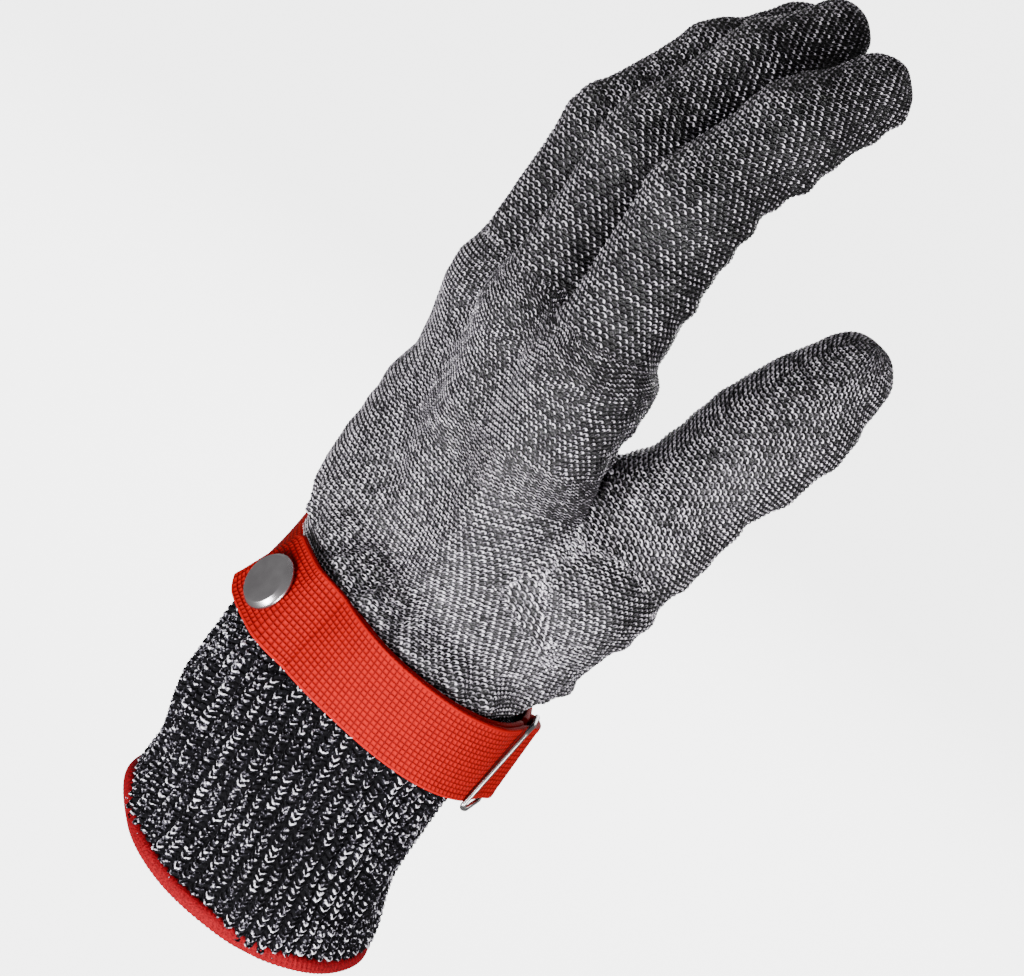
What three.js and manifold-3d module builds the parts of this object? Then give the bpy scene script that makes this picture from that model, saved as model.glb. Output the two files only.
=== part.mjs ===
// A cut resistant knitted glove for the left hand, with a rib cuff and a red wrist strap that snaps shut.
// Millimetres. The origin is the centre of the cuff mouth and +Z runs towards the finger tips.
// +X is the thumb side, -Y the back of the hand and +Y the palm.

import * as THREE from 'three';
import { mergeVertices } from 'three/addons/utils/BufferGeometryUtils.js';
import Module from 'manifold-3d';

// ---- the hand and cuff ----
const KNIT_WALL = 1.6;
const WRIST_Z = 75;               // height of the wrist line above the cuff mouth
const PALM_BEND = -4;             // how far the hand leans towards the palm, in degrees
const THUMB_SIDE_LEAN = -9;       // and towards the thumb side
const MOUTH_HALF = [40, 35.5];    // half width and half depth of the cuff mouth
const WRIST_HALF = [38, 32];      // the same at the wrist line
const CUFF_TOP = 75;
const FLATNESS = 0.8;             // a stall's width over its depth
const ROOT_LENGTH = 21;           // knuckle to the web, where a stall starts

// Each finger: its knuckle in the hand's frame, the sideways lean, the bends at knuckle, middle joint and end
// joint, the lengths to the middle joint, end joint and tip, and the depth radii at those four places.
const FINGERS = {
  index: {
    knuckle: [25.8, -2.7, 86], lean: 1.2, bends: [8, 26.5, 14], lengths: [47, 27, 20.5],
    radii: [14.5, 13.4, 12.3, 10.3],
  },
  middle: {
    knuckle: [4, -6.5, 90], lean: 0.4, bends: [10.5, 27, 12], lengths: [48, 29, 19.5],
    radii: [14, 12.9, 11.8, 9.8],
  },
  ring: {
    knuckle: [-17, -4, 87], lean: -0.8, bends: [11.5, 31, 13], lengths: [45, 28, 23],
    radii: [13.3, 12.4, 11.2, 9.4],
  },
  little: {
    knuckle: [-35.5, 7, 77], lean: -2.2, bends: [17, 32, 17], lengths: [36, 21.5, 20],
    radii: [11.8, 11, 9.9, 8.6],
  },
};

// The thumb's root in the hand's frame, which way it points, and the same three bends, lengths and radii.
const THUMB = {
  root: [20, 7.5, 20], turn: 71, rise: 54, bends: [0, 6.5, 0], lengths: [43, 32.5, 25.5],
  radii: [18, 15.7, 14.5, 11],
};
const THUMB_FLATNESS = 0.95;
const THUMB_END_BEND = 3;         // halfway along the tip

// The rest of the palm in the hand's frame: its middle, the heel below the little finger, the back of the
// wrist, the base of the thumb and the pad below the index finger.
const PALM = [
  { from: [0, 2, 16], to: [-6, -1, 74], radii: [15.5, 14], flat: 2.2 },
  { from: [-18, 8, 22], to: [-27, 11, 52], radii: [17, 15], flat: 1 },
  { from: [-13, -6.5, 12], to: [-19, -3.5, 52], radii: [24.5, 16.5], flat: 1 },
  { from: [21, 15.5, 13], to: [34, 19, 38], radii: [17.5, 15], flat: 1 },
  { from: [13.5, 6, 66.5], to: [21.5, 5.5, 84.5], radii: [13, 12.8], flat: 1 },
];
const KNUCKLE_ROOT_RADIUS = 17;   // where the bones of the four knuckles start, near the wrist
const WEB_OVERLAP = 4;            // how far the hand's knit runs on past the fold before the fold trims it

// ---- how far each stall folds from where it rests, in degrees ----
const ROOT_FOLD = { open: 15, close: 32 };
const MIDDLE_FOLD = { open: 15, close: 36 };
const THUMB_FOLD = { open: 12, close: 14 };
const FOLD_SPARE = 8;             // how much further than that the faces of a fold stay clear
const HINGE_INSET = 4.5;          // a fold lies this far to the palm side of the stall's middle line

// ---- the strap ----
const GAP = 0.3;
const WEB_THICK = 1.2;
const WEB_WIDTH = 23;
const STRAP_Z = 73;               // height of its middle at the side of the wrist
const STRAP_SLOPE = 0.16;         // how much it rises towards the back of the hand, for each mm
const BAND_LIFT = 1.1;            // the band's inner face stands this far off the cuff, for the rivet flange
const SNAP_ANGLE = -94;           // round the wrist from the thumb side, positive towards the palm
const FLAP_ANGLE = -36;
const TAB_ANGLE = -70;
const TAB_END_ANGLE = -108;
const RING_ANGLE = 38;
const WIRE_RADIUS = 0.85;
const RING_HALF_SPAN = 4.2;
const CAP_RADIUS = 7.5;

const NECK_TOP = STRAP_Z + WEB_WIDTH / 2 + 1;   // at the side of the wrist, and it slopes with the strap
const SIDES = 12;

const wasm = await Module();
wasm.setup();

const radians = THREE.MathUtils.degToRad;

// ---- shapes and solids ----

// A geometry as a solid with its faces pointing out.
function solid(geometry) {
  const bare = geometry.clone();
  bare.deleteAttribute('normal');
  bare.deleteAttribute('uv');
  const merged = mergeVertices(bare, 1e-4);
  const corners = merged.index.array;
  const kept = [];
  for (let i = 0; i < corners.length; i += 3) {
    const [a, b, c] = corners.slice(i, i + 3);
    if (a !== b && b !== c && c !== a) kept.push(a, b, c);
  }
  const build = (triangles) => new wasm.Manifold(new wasm.Mesh({
    numProp: 3,
    vertProperties: new Float32Array(merged.attributes.position.array),
    triVerts: new Uint32Array(triangles),
  }));
  const made = build(kept);
  return made.volume() > 0 ? made : build(kept.reverse());
}

const join = (solids) => solids.reduce((all, next) => all.add(next));

// A profile of [radius, height] points turned about +Z, with its width scaled by ratioAt(height).
function turned(profile, ratioAt = () => 1, sides = SIDES) {
  const points = profile.map(([radius, height]) => new THREE.Vector2(radius, height));
  const geometry = new THREE.LatheGeometry(points, sides).rotateX(Math.PI / 2);
  const place = geometry.attributes.position;
  for (let i = 0; i < place.count; i += 1) place.setX(i, place.getX(i) * ratioAt(place.getZ(i)));
  return geometry;
}

// A cone with round ends between two points, flattened across X.
function bone(from, to, low, high, flat = 1) {
  const along = to.clone().sub(from);
  const length = along.length();
  const lean = Math.asin((low - high) / length);
  const profile = [];
  const arc = (radius, height, start, end) => {
    const steps = 3;
    for (let i = 0; i <= steps; i += 1) {
      const turn = start + (end - start) * i / steps;
      profile.push([Math.max(0, radius * Math.cos(turn)), height + radius * Math.sin(turn)]);
    }
  };
  arc(low, 0, -Math.PI / 2, lean);
  arc(high, length, lean, Math.PI / 2);
  const z = along.normalize();
  const y = new THREE.Vector3().crossVectors(z, new THREE.Vector3(1, 0, 0)).normalize();
  const x = new THREE.Vector3().crossVectors(y, z);
  const frame = new THREE.Matrix4().makeBasis(x, y, z).setPosition(from);
  return solid(turned(profile, () => flat).applyMatrix4(frame));
}

// A row of bones as one solid, with `wall` taken off all round.
function limb(bones, wall = 0) {
  return join(bones.map(([from, to, low, high, flat]) => bone(from, to, low - wall, high - wall, flat)));
}

// Knitted fabric over a row of bones.
const knitOver = (bones) => limb(bones).subtract(limb(bones, KNIT_WALL));

// What a fold needs clear beyond its line: the space past two planes that slope away on either side of it.
// side is 1 for the piece above the fold, which loses what is below, and -1 for the piece below it.
function foldCut(side, inset, palmSlope, backSlope, width, reach = 30) {
  const lift = GAP / 2;
  const shape = new THREE.Shape([
    [inset - reach, side * (lift + reach * Math.tan(radians(backSlope)))],
    [inset, side * lift],
    [inset + reach, side * (lift + reach * Math.tan(radians(palmSlope)))],
    [inset + reach, -side * reach],
    [inset - reach, -side * reach],
  ].map(([y, z]) => new THREE.Vector2(y, z)));
  const geometry = new THREE.ExtrudeGeometry(shape, { depth: width, bevelEnabled: false });
  const axes = [[0, 1, 0], [0, 0, 1], [1, 0, 0]].map((axis) => new THREE.Vector3(...axis));
  return geometry.translate(0, 0, -width / 2).applyMatrix4(new THREE.Matrix4().makeBasis(...axes));
}

const colours = {
  knit: { color: '#87838a', roughness: 0.72, metalness: 0.35 },
  rib: { color: '#2b2a2f', roughness: 0.9, metalness: 0 },
  red: { color: '#d83f39', roughness: 0.8, metalness: 0 },
  thread: { color: '#b81f24', roughness: 0.85, metalness: 0 },
  steel: { color: '#a9a6a4', roughness: 0.22, metalness: 1 },
};

const glove = new THREE.Group();

function addMesh(parent, name, shape, look) {
  const geometry = new THREE.BufferGeometry();
  const { vertProperties, triVerts } = shape.getMesh();
  geometry.setAttribute('position', new THREE.BufferAttribute(vertProperties, 3));
  geometry.setIndex(new THREE.BufferAttribute(triVerts, 1));
  geometry.computeVertexNormals();
  const mesh = new THREE.Mesh(geometry, new THREE.MeshStandardMaterial(colours[look]));
  mesh.name = name;
  parent.add(mesh);
}

function addGroup(parent, matrix) {
  const group = new THREE.Group();
  group.applyMatrix4(matrix);
  parent.add(group);
  return group;
}

const shift = (x, y, z) => new THREE.Matrix4().makeTranslation(x, y, z);
const bend = (degrees) => new THREE.Matrix4().makeRotationX(radians(-degrees));

// Slides every point up by how far it lies towards the back of the hand, so upright lines stay upright.
const strapSlant = new THREE.Matrix4().set(1, 0, 0, 0, 0, 1, 0, 0, 0, -STRAP_SLOPE, 1, 0, 0, 0, 0, 1);

// The frame past a fold at a height on a stall: turned about the fold's line.
const folded = (height, degrees) => shift(0, HINGE_INSET, height)
  .multiply(bend(degrees))
  .multiply(shift(0, -HINGE_INSET, 0));

// ---- the hand's frame at the wrist, and where each stall starts in it ----
const handFrame = shift(0, 0, WRIST_Z)
  .multiply(bend(PALM_BEND))
  .multiply(new THREE.Matrix4().makeRotationY(radians(THUMB_SIDE_LEAN)));
const hand = addGroup(glove, handFrame);

const fingerFrames = Object.fromEntries(Object.entries(FINGERS).map(([name, finger]) => [
  name,
  shift(...finger.knuckle)
    .multiply(new THREE.Matrix4().makeRotationY(radians(finger.lean)))
    .multiply(bend(finger.bends[0])),
]));

function thumbFrameAtRoot() {
  const [turn, rise] = [radians(THUMB.turn), radians(THUMB.rise)];
  const level = Math.cos(rise);
  const z = new THREE.Vector3(Math.cos(turn) * level, Math.sin(turn) * level, Math.sin(rise));
  const y = new THREE.Vector3(0, 0, 1).addScaledVector(z, -z.z).normalize();
  const x = new THREE.Vector3().crossVectors(y, z);
  return new THREE.Matrix4().makeBasis(x, y, z).setPosition(...THUMB.root);
}
const thumbFrame = thumbFrameAtRoot();

// ---- palm and back ----
// The palm's bones joined to a collar at the wrist, and held inside its outline below the neck's top.
const COLLAR = { sides: 40, below: 9, shoulder: 14, inset: 6, box: 160 };

function neckedIn(bones, wall) {
  const toHand = handFrame.clone().invert();
  const half = WRIST_HALF[1] - wall;
  const top = NECK_TOP + wall;
  const foot = CUFF_TOP - COLLAR.below - wall;
  const shoulder = top + COLLAR.shoulder;
  const ratio = () => WRIST_HALF[0] / WRIST_HALF[1];
  const slanted = (geometry) => solid(geometry.applyMatrix4(strapSlant).applyMatrix4(toHand));
  const collar = (profile) => slanted(turned(profile, ratio, COLLAR.sides));
  const neck = collar([[0, foot], [half, foot], [half, top], [half - COLLAR.inset, shoulder], [0, shoulder]]);
  const column = collar([[0, 0], [half, 0], [half, 2 * top], [0, 2 * top]]);
  const slab = new THREE.BoxGeometry(COLLAR.box, COLLAR.box, top).translate(0, 0, top / 2);
  const outsideNeck = slanted(slab).subtract(column);
  return limb(bones, wall).add(neck).subtract(outsideNeck);
}

function palmAndBack() {
  const at = (x, y, z) => new THREE.Vector3(x, y, z);
  const bones = [];
  for (const [name, finger] of Object.entries(FINGERS)) {
    const [x, y, z] = finger.knuckle;
    const [depth, webDepth] = finger.radii;
    const web = at(0, 0, ROOT_LENGTH + WEB_OVERLAP).applyMatrix4(fingerFrames[name]);
    bones.push([at(x * 0.6, y * 0.3 + 1, 14), at(x, y, z), KNUCKLE_ROOT_RADIUS, depth, 1]);
    bones.push([at(x, y, z), web, depth, webDepth + 0.5, FLATNESS]);
  }
  const thumbWeb = at(0, 0, THUMB.lengths[0] + WEB_OVERLAP).applyMatrix4(thumbFrame);
  bones.push([at(...THUMB.root), thumbWeb, THUMB.radii[0], THUMB.radii[1], 1]);
  for (const { from, to, radii, flat } of PALM) bones.push([at(...from), at(...to), ...radii, flat]);

  let shell = neckedIn(bones, 0).subtract(neckedIn(bones, KNIT_WALL));
  const depth = 60;
  const floor = new THREE.BoxGeometry(2 * depth, 2 * depth, depth)
    .translate(0, 0, CUFF_TOP + GAP - depth / 2);
  shell = shell.subtract(solid(floor.applyMatrix4(handFrame.clone().invert())));
  const trim = (frame, { palm, back }, width, reach) => {
    const cut = foldCut(-1, HINGE_INSET, palm, back, width, reach);
    shell = shell.subtract(solid(cut.applyMatrix4(frame)));
  };
  for (const [name, finger] of Object.entries(FINGERS)) {
    const frame = fingerFrames[name].clone().multiply(shift(0, 0, ROOT_LENGTH));
    trim(frame, slopes.root, 2 * FLATNESS * finger.radii[1] + KNIT_WALL);
  }
  const thumbFold = thumbFrame.clone().multiply(shift(0, 0, THUMB.lengths[0]));
  trim(thumbFold, slopes.thumbRoot, 36, 21);
  return shell;
}

// The slopes of a fold's two faces: half of all the bend it can close or open from straight.
function foldSlopes(fold, restBend) {
  return {
    palm: (restBend + fold.close + FOLD_SPARE) / 2,
    back: (fold.open + FOLD_SPARE - restBend) / 2,
  };
}
const slopes = {
  root: foldSlopes(ROOT_FOLD, 0),
  thumbRoot: foldSlopes(THUMB_FOLD, THUMB.bends[1]),
};

addMesh(hand, 'palm_and_back_knit', palmAndBack(), 'knit');

// ---- stalls ----
// A root length and a tip length, each in the frame of its own fold.
function addStall(name, rootFrame, rootLength, tipLengths, bends, radii, folds, flat) {
  const at = (z) => new THREE.Vector3(0, 0, z);
  const rootFold = foldSlopes(folds.root, bends.root);
  const middleFold = foldSlopes(folds.middle, bends.middle);
  const root = addGroup(hand, rootFrame);
  const width = 60;
  const rootTube = knitOver([[at(-6), at(rootLength + 6), radii[0], radii[1], flat]])
    .subtract(solid(foldCut(1, HINGE_INSET, rootFold.palm, rootFold.back, width)))
    .subtract(solid(foldCut(-1, HINGE_INSET, middleFold.palm, middleFold.back, width)
      .translate(0, 0, rootLength)));
  addMesh(root, `${name}_stall_root`, rootTube, 'knit');

  const tip = addGroup(root, folded(rootLength, bends.middle));
  const endJoint = at(tipLengths[0]);
  const end = at(tipLengths[1]).applyMatrix4(shift(0, 0, tipLengths[0]).multiply(bend(bends.end)));
  const tipBones = [[at(-5), endJoint, radii[1], radii[2], flat], [endJoint, end, radii[2], radii[3], flat]];
  const tipTube = knitOver(tipBones)
    .subtract(solid(foldCut(1, HINGE_INSET, middleFold.palm, middleFold.back, width)));
  addMesh(tip, `${name}_stall_tip`, tipTube, 'knit');
}

for (const [name, finger] of Object.entries(FINGERS)) {
  const [toMiddle, toEnd, toTip] = finger.lengths;
  const [, middle, end] = finger.bends;
  addStall(
    name,
    fingerFrames[name].clone().multiply(shift(0, 0, ROOT_LENGTH)),
    toMiddle - ROOT_LENGTH,
    [toEnd, toTip],
    { root: 0, middle, end },
    [finger.radii[1] + 0.3, finger.radii[1], finger.radii[2], finger.radii[3]],
    { root: ROOT_FOLD, middle: MIDDLE_FOLD },
    FLATNESS,
  );
}
addStall(
  'thumb',
  thumbFrame.clone().multiply(folded(THUMB.lengths[0], THUMB.bends[1])),
  THUMB.lengths[1],
  [THUMB.lengths[2] * 0.5, THUMB.lengths[2] * 0.5],
  { root: THUMB.bends[1], middle: THUMB.bends[2], end: THUMB_END_BEND },
  [THUMB.radii[1], THUMB.radii[2], THUMB.radii[2] - 0.8, THUMB.radii[3]],
  { root: THUMB_FOLD, middle: THUMB_FOLD },
  THUMB_FLATNESS,
);

// ---- cuff and hem ----
const HEM_HEIGHT = 3.4;
const HEM_PROUD = 0.9;
const CUFF_SIDES = 36;

function cuffRatio(height) {
  const t = THREE.MathUtils.smoothstep(height, 0, CUFF_TOP - 12);
  return THREE.MathUtils.lerp(MOUTH_HALF[0] / MOUTH_HALF[1], WRIST_HALF[0] / WRIST_HALF[1], t);
}

function addCuff() {
  const low = HEM_HEIGHT + GAP;
  const [mouth, wrist] = [MOUTH_HALF[1], WRIST_HALF[1]];
  const outer = [
    [mouth, low], [mouth - 0.8, 14], [mouth - 2.2, 30], [mouth - 3.2, 46], [wrist, 58], [wrist, CUFF_TOP],
  ];
  const inner = outer.map(([radius, height]) => [radius - KNIT_WALL - 0.4, height]).reverse();
  addMesh(glove, 'rib_cuff', solid(turned([...outer, ...inner, outer[0]], cuffRatio, CUFF_SIDES)), 'rib');

  const [inside, outside, chamfer] = [mouth - KNIT_WALL - HEM_PROUD - 0.6, mouth + HEM_PROUD, 0.9];
  const [shoulder, top] = [HEM_HEIGHT - chamfer, HEM_HEIGHT];
  const profile = [
    [inside + chamfer, 0], [outside - chamfer, 0], [outside, chamfer], [outside, shoulder],
    [outside - chamfer, top], [inside + chamfer, top], [inside, shoulder], [inside, chamfer],
  ];
  addMesh(glove, 'cuff_hem', solid(turned([...profile, profile[0]], cuffRatio, CUFF_SIDES)), 'red');
}
addCuff();

// ---- strap ----
const BAND_OUTER = BAND_LIFT + WEB_THICK;
const FLAP_LIFT = BAND_OUTER + GAP;
const TAB_LIFT = 6.2;
const BAR_OVER_LIFT = FLAP_LIFT + WEB_THICK + GAP + WIRE_RADIUS;
const BAR_UNDER_LIFT = BAND_OUTER + GAP + WIRE_RADIUS;
const STEP = 5;

// A point round the wrist at an angle, lifted off the cuff along its normal, in the XY plane.
function wristPoint(angle, lift) {
  const [a, b] = WRIST_HALF;
  const [cos, sin] = [Math.cos(radians(angle)), Math.sin(radians(angle))];
  const out = new THREE.Vector2(b * cos, a * sin).normalize();
  return new THREE.Vector2(a * cos, b * sin).addScaledVector(out, lift);
}

function arcLengthPerDegree(angle) {
  const [a, b] = WRIST_HALF;
  return radians(1) * Math.hypot(a * Math.sin(radians(angle)), b * Math.cos(radians(angle)));
}

function extrudeWebbing(shape, width = WEB_WIDTH) {
  return new THREE.ExtrudeGeometry(shape, { depth: width, bevelEnabled: false })
    .translate(0, 0, STRAP_Z - width / 2)
    .applyMatrix4(strapSlant);
}

// A length of webbing between two angles, whose inner face lies at innerAt(angle) off the cuff.
function webbing(from, to, innerAt, thick = WEB_THICK, width = WEB_WIDTH) {
  const count = Math.max(2, Math.round(Math.abs(to - from) / STEP));
  const angles = Array.from({ length: count + 1 }, (_, i) => from + (to - from) * i / count);
  const inner = angles.map((angle) => wristPoint(angle, innerAt(angle)));
  const outer = angles.map((angle) => wristPoint(angle, innerAt(angle) + thick)).reverse();
  return solid(extrudeWebbing(new THREE.Shape([...inner, ...outer]), width));
}

// The closed band, and the fold that wraps the ring's lower bar and runs back over it to the flap.
function band() {
  const whole = Array.from({ length: 72 }, (_, i) => i * 5);
  const loop = new THREE.Shape(whole.map((angle) => wristPoint(angle, BAND_OUTER)));
  loop.holes.push(new THREE.Path(whole.map((angle) => wristPoint(angle, BAND_LIFT))));

  const perMm = 1 / arcLengthPerDegree(RING_ANGLE);
  const near = (along, lift) => wristPoint(RING_ANGLE + along * perMm, lift);
  const [inner, outer] = [WIRE_RADIUS + GAP, WIRE_RADIUS + GAP + WEB_THICK];
  const rise = (along) => THREE.MathUtils.smoothstep(along, -3.2, 3.4);
  const top = BAR_UNDER_LIFT + inner;
  const face = (along, extra) => near(along, THREE.MathUtils.lerp(FLAP_LIFT, top, rise(along)) + extra);
  const start = (FLAP_ANGLE - RING_ANGLE) / perMm + GAP / 2;
  const runs = [];
  for (let along = start; along < -RING_HALF_SPAN; along += 2.5) runs.push(along);
  for (let along = -3.6; along < RING_HALF_SPAN; along += 1.3) runs.push(along);
  const turn = (radius, from, to) => Array.from({ length: 9 }, (_, i) => {
    const angle = radians(from + (to - from) * i / 8);
    return near(RING_HALF_SPAN + radius * Math.cos(angle), BAR_UNDER_LIFT + radius * Math.sin(angle));
  });
  const shape = new THREE.Shape([
    ...runs.map((along) => face(along, WEB_THICK)),
    ...turn(outer, 90, -60),
    near(RING_HALF_SPAN - 0.5, BAND_LIFT + WEB_THICK / 2),
    ...turn(inner, -80, 90),
    ...runs.reverse().map((along) => face(along, 0)),
  ]);
  return solid(extrudeWebbing(loop)).add(solid(extrudeWebbing(shape)));
}

// The frame of a place on the strap: +Z out of the wrist, +Y up the hand.
function strapFrame(angle, lift) {
  const place = wristPoint(angle, lift);
  const out = wristPoint(angle, lift + 1).sub(place);
  const z = new THREE.Vector3(out.x, out.y, 0);
  const y = new THREE.Vector3(0, 0, 1);
  const x = new THREE.Vector3().crossVectors(y, z);
  const height = STRAP_Z - STRAP_SLOPE * place.y;
  return new THREE.Matrix4().makeBasis(x, y, z).setPosition(place.x, place.y, height);
}

const snapFrame = strapFrame(SNAP_ANGLE, 0);
const RIVET_HOLE = 1.9;

function rivetHole() {
  return solid(turned([[0, -2], [RIVET_HOLE, -2], [RIVET_HOLE, 12], [0, 12]]).applyMatrix4(snapFrame));
}

function addStrap() {
  const hole = rivetHole();
  const tabLift = (angle) => THREE.MathUtils.lerp(
    TAB_LIFT, FLAP_LIFT, THREE.MathUtils.smoothstep(angle, SNAP_ANGLE + 9, TAB_ANGLE));
  const slit = GAP / 2 / arcLengthPerDegree(TAB_ANGLE);
  addMesh(glove, 'strap_band', band().subtract(hole), 'red');
  addMesh(glove, 'strap_flap', webbing(FLAP_ANGLE - slit, TAB_ANGLE + slit, () => FLAP_LIFT), 'red');
  addMesh(glove, 'strap_end_tab', webbing(TAB_ANGLE - slit, TAB_END_ANGLE, tabLift).subtract(hole), 'red');

  const bar = (angle) => webbing(angle - 1.6, angle + 1.6, () => BAND_OUTER + GAP, 0.7, WEB_WIDTH - 4);
  addMesh(glove, 'band_bartack', bar(RING_ANGLE + 24), 'thread');
  addMesh(glove, 'glove_bartack', bar(180), 'thread');
}
addStrap();

// ---- wire ring: one bar over the strap and one inside its fold, bent from wire with a butt gap ----
function addRing() {
  const perMm = 1 / arcLengthPerDegree(RING_ANGLE);
  const over = wristPoint(RING_ANGLE - RING_HALF_SPAN * perMm, BAR_OVER_LIFT);
  const under = wristPoint(RING_ANGLE + RING_HALF_SPAN * perMm, BAR_UNDER_LIFT);
  const half = WEB_WIDTH / 2 + GAP + 0.5 + WIRE_RADIUS;
  const corner = 2;
  const reach = corner / over.distanceTo(under);
  const at = (t, z) => {
    const point = under.clone().lerp(over, t);
    return new THREE.Vector3(point.x, point.y, STRAP_Z + z - STRAP_SLOPE * point.y);
  };
  const path = new THREE.CurvePath();
  const line = (a, b) => path.add(new THREE.LineCurve3(a, b));
  const turn = (a, b, c) => path.add(new THREE.QuadraticBezierCurve3(a, b, c));
  line(at(0, 0.3), at(0, half - corner));
  turn(at(0, half - corner), at(0, half), at(reach, half));
  line(at(reach, half), at(1 - reach, half));
  turn(at(1 - reach, half), at(1, half), at(1, half - corner));
  line(at(1, half - corner), at(1, corner - half));
  turn(at(1, corner - half), at(1, -half), at(1 - reach, -half));
  line(at(1 - reach, -half), at(reach, -half));
  turn(at(reach, -half), at(0, -half), at(0, corner - half));
  line(at(0, corner - half), at(0, -0.3));
  const section = new THREE.Shape().absarc(0, 0, WIRE_RADIUS, 0, 2 * Math.PI);
  const geometry = new THREE.ExtrudeGeometry(section, { steps: 44, curveSegments: 4, extrudePath: path });
  addMesh(glove, 'wire_ring', solid(geometry), 'steel');
}
addRing();

// ---- snap: post and stud on the band, socket, ring spring and cap on the end tab ----
function addSnap() {
  const piece = (name, profile, sides = 18) => {
    addMesh(glove, name, solid(turned(profile, () => 1, sides).applyMatrix4(snapFrame)), 'steel');
  };
  piece('stud_post', [[0, 0.3], [4.2, 0.3], [4.4, 0.55], [4.2, 0.8], [1.6, 0.8], [1.6, 3.9], [0, 3.9]]);
  piece('snap_stud', [
    [1.9, 2.6], [5.2, 2.6], [5.3, 2.8], [5.1, 3.05], [2.3, 3.05], [2.1, 3.5], [2.1, 3.9], [2.3, 4.3],
    [2.1, 4.8], [1.4, 5], [0, 5], [0, 4.4], [1.9, 4.4], [1.9, 2.6],
  ]);
  piece('snap_socket', [
    [3.5, 3.4], [5.3, 3.4], [5.6, 3.8], [5.6, 5.5], [5.2, 5.9], [1.8, 5.9], [1.8, 5.35], [3.5, 5.35],
    [3.5, 4.6], [3.95, 4.6], [3.95, 3.9], [3.5, 3.9], [3.5, 3.4],
  ]);
  piece('snap_cap', [
    [0, 5.5], [1.5, 5.5], [1.5, 7.7], [CAP_RADIUS - 0.5, 7.7], [CAP_RADIUS, 8.2], [CAP_RADIUS, 8.6],
    [CAP_RADIUS - 0.7, 9.9], [CAP_RADIUS - 1.2, 10.2], [0, 10.2],
  ], 28);

  const wire = 0.25;
  const middle = 3.4;
  const path = new THREE.CatmullRomCurve3(Array.from({ length: 25 }, (_, i) => {
    const turn = radians(12 + 336 * i / 24);
    return new THREE.Vector3(middle * Math.cos(turn), middle * Math.sin(turn), 4.25);
  }));
  const section = new THREE.Shape().absarc(0, 0, wire, 0, 2 * Math.PI);
  const spring = new THREE.ExtrudeGeometry(section, { steps: 28, curveSegments: 3, extrudePath: path });
  addMesh(glove, 'socket_spring', solid(spring.applyMatrix4(snapFrame)), 'steel');
}
addSnap();

export default glove;
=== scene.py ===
import math

import bpy
import numpy as np
from mathutils import Matrix, Vector


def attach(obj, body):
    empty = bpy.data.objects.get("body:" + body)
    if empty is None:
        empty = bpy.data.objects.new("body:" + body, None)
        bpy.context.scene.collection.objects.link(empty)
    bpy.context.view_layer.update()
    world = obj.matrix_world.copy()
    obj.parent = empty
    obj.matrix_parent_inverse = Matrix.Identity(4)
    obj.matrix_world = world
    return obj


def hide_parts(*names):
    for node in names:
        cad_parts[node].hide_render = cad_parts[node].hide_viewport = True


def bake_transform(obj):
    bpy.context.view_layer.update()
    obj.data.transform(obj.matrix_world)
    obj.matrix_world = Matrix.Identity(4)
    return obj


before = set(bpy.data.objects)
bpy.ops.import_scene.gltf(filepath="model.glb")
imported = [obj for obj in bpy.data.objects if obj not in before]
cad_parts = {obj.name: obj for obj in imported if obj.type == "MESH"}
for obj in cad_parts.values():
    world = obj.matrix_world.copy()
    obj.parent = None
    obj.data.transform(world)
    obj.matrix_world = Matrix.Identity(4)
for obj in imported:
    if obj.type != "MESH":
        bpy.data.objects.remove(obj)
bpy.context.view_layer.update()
MM = 0.001

# The shape below is in millimetres, in the frame of the CAD model: +Z to the finger tips, +X the thumb side,
# -Y the back of the hand. It repeats the CAD model's own dimensions, and THUMB_BALL is one bone more.
# A finger has its knuckle, its lean, its three bends, its three lengths and the radii at their ends.
# A bone has its two ends, the radii there and how many times as wide as deep it is.
WRIST_Z = 75.0
WRIST_HALF = (38.0, 32.0)
MOUTH_HALF = (40.0, 35.5)
HINGE_INSET = 4.5
ROOT_LENGTH = 21.0
FLATNESS = 0.8
FINGERS = {
    "index": ((25.8, -2.7, 86), 1.2, (8, 26.5, 14), (47, 27, 20.5), (14.5, 13.4, 12.3, 10.3)),
    "middle": ((4, -6.5, 90), 0.4, (10.5, 27, 12), (48, 29, 19.5), (14, 12.9, 11.8, 9.8)),
    "ring": ((-17, -4, 87), -0.8, (11.5, 31, 13), (45, 28, 23), (13.3, 12.4, 11.2, 9.4)),
    "little": ((-35.5, 7, 77), -2.2, (17, 32, 17), (36, 21.5, 20), (11.8, 11, 9.9, 8.6)),
}
THUMB_ROOT, THUMB_TURN, THUMB_RISE = (20, 7.5, 20), 71, 54
THUMB_LENGTHS, THUMB_BENDS, THUMB_RADII = (43, 32.5, 25.5), (0, 6.5, 0), (18, 15.7, 14.5, 11)
PALM = (
    ((0, 2, 16), (-6, -1, 74), 15.5, 14, 2.2),
    ((-18, 8, 22), (-27, 11, 52), 17, 15, 1),
    ((-13, -6.5, 12), (-19, -3.5, 52), 24.5, 16.5, 1),
    ((21, 15.5, 13), (34, 19, 38), 17.5, 15, 1),
    ((13.5, 6, 66.5), (21.5, 5.5, 84.5), 13, 12.8, 1),
)
THUMB_BALL = ((33.5, 19, 36), (27.5, 28.5, 50), 15, 15.4)


# ---- frames ----
def shift(x, y, z):
    m = np.eye(4)
    m[:3, 3] = (x, y, z)
    return m


def turn_x(degrees):
    c, s = math.cos(math.radians(degrees)), math.sin(math.radians(degrees))
    return np.array([[1, 0, 0, 0], [0, c, -s, 0], [0, s, c, 0], [0, 0, 0, 1.0]])


def turn_y(degrees):
    c, s = math.cos(math.radians(degrees)), math.sin(math.radians(degrees))
    return np.array([[c, 0, s, 0], [0, 1, 0, 0], [-s, 0, c, 0], [0, 0, 0, 1.0]])


def bend(degrees):
    return turn_x(-degrees)


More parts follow.
